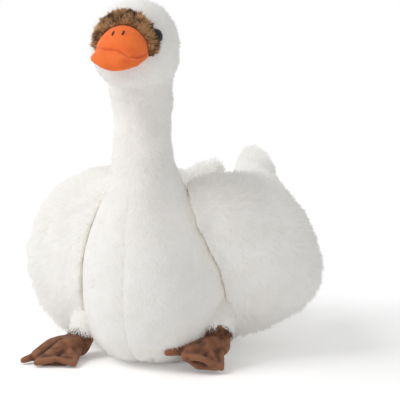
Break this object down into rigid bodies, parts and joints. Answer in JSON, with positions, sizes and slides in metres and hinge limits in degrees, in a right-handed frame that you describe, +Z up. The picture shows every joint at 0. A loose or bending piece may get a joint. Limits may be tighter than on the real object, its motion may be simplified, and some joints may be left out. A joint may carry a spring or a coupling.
{
  "type": "plush swan",
  "caption": "Sitting stuffed toy swan with folded padded wings, an upright neck, a fabric bill and webbed feet.",
  "frame": {"origin": "middle of the flat patch of belly that it sits on, at the height of the floor", "axes": "+Z up, -Y the way the breast faces, +X to the swan's left"},
  "size_m": [0.2414, 0.3023, 0.2865],
  "materials": {
    "white_plush": "soft short pile",
    "wing_plush": "soft long tufty pile",
    "brown_plush": "short mottled pile",
    "orange_suede": "fine velour",
    "brown_suede": "fine suede cloth",
    "eye_plastic": "polished",
    "washer_plastic": "moulded"
  },
  "bodies": {
    "root": {"body": "white_plush", "left_wing": "wing_plush", "right_wing": "wing_plush", "tail": "white_plush", "face_mask": "brown_plush", "upper_bill": "orange_suede", "lower_bill": "orange_suede", "left_eye": "eye_plastic", "right_eye": "eye_plastic", "left_eye_washer": "washer_plastic", "right_eye_washer": "washer_plastic", "left_leg": "brown_suede", "right_leg": "brown_suede", "left_foot": "brown_suede", "right_foot": "brown_suede"}
  },
  "joints": []
}
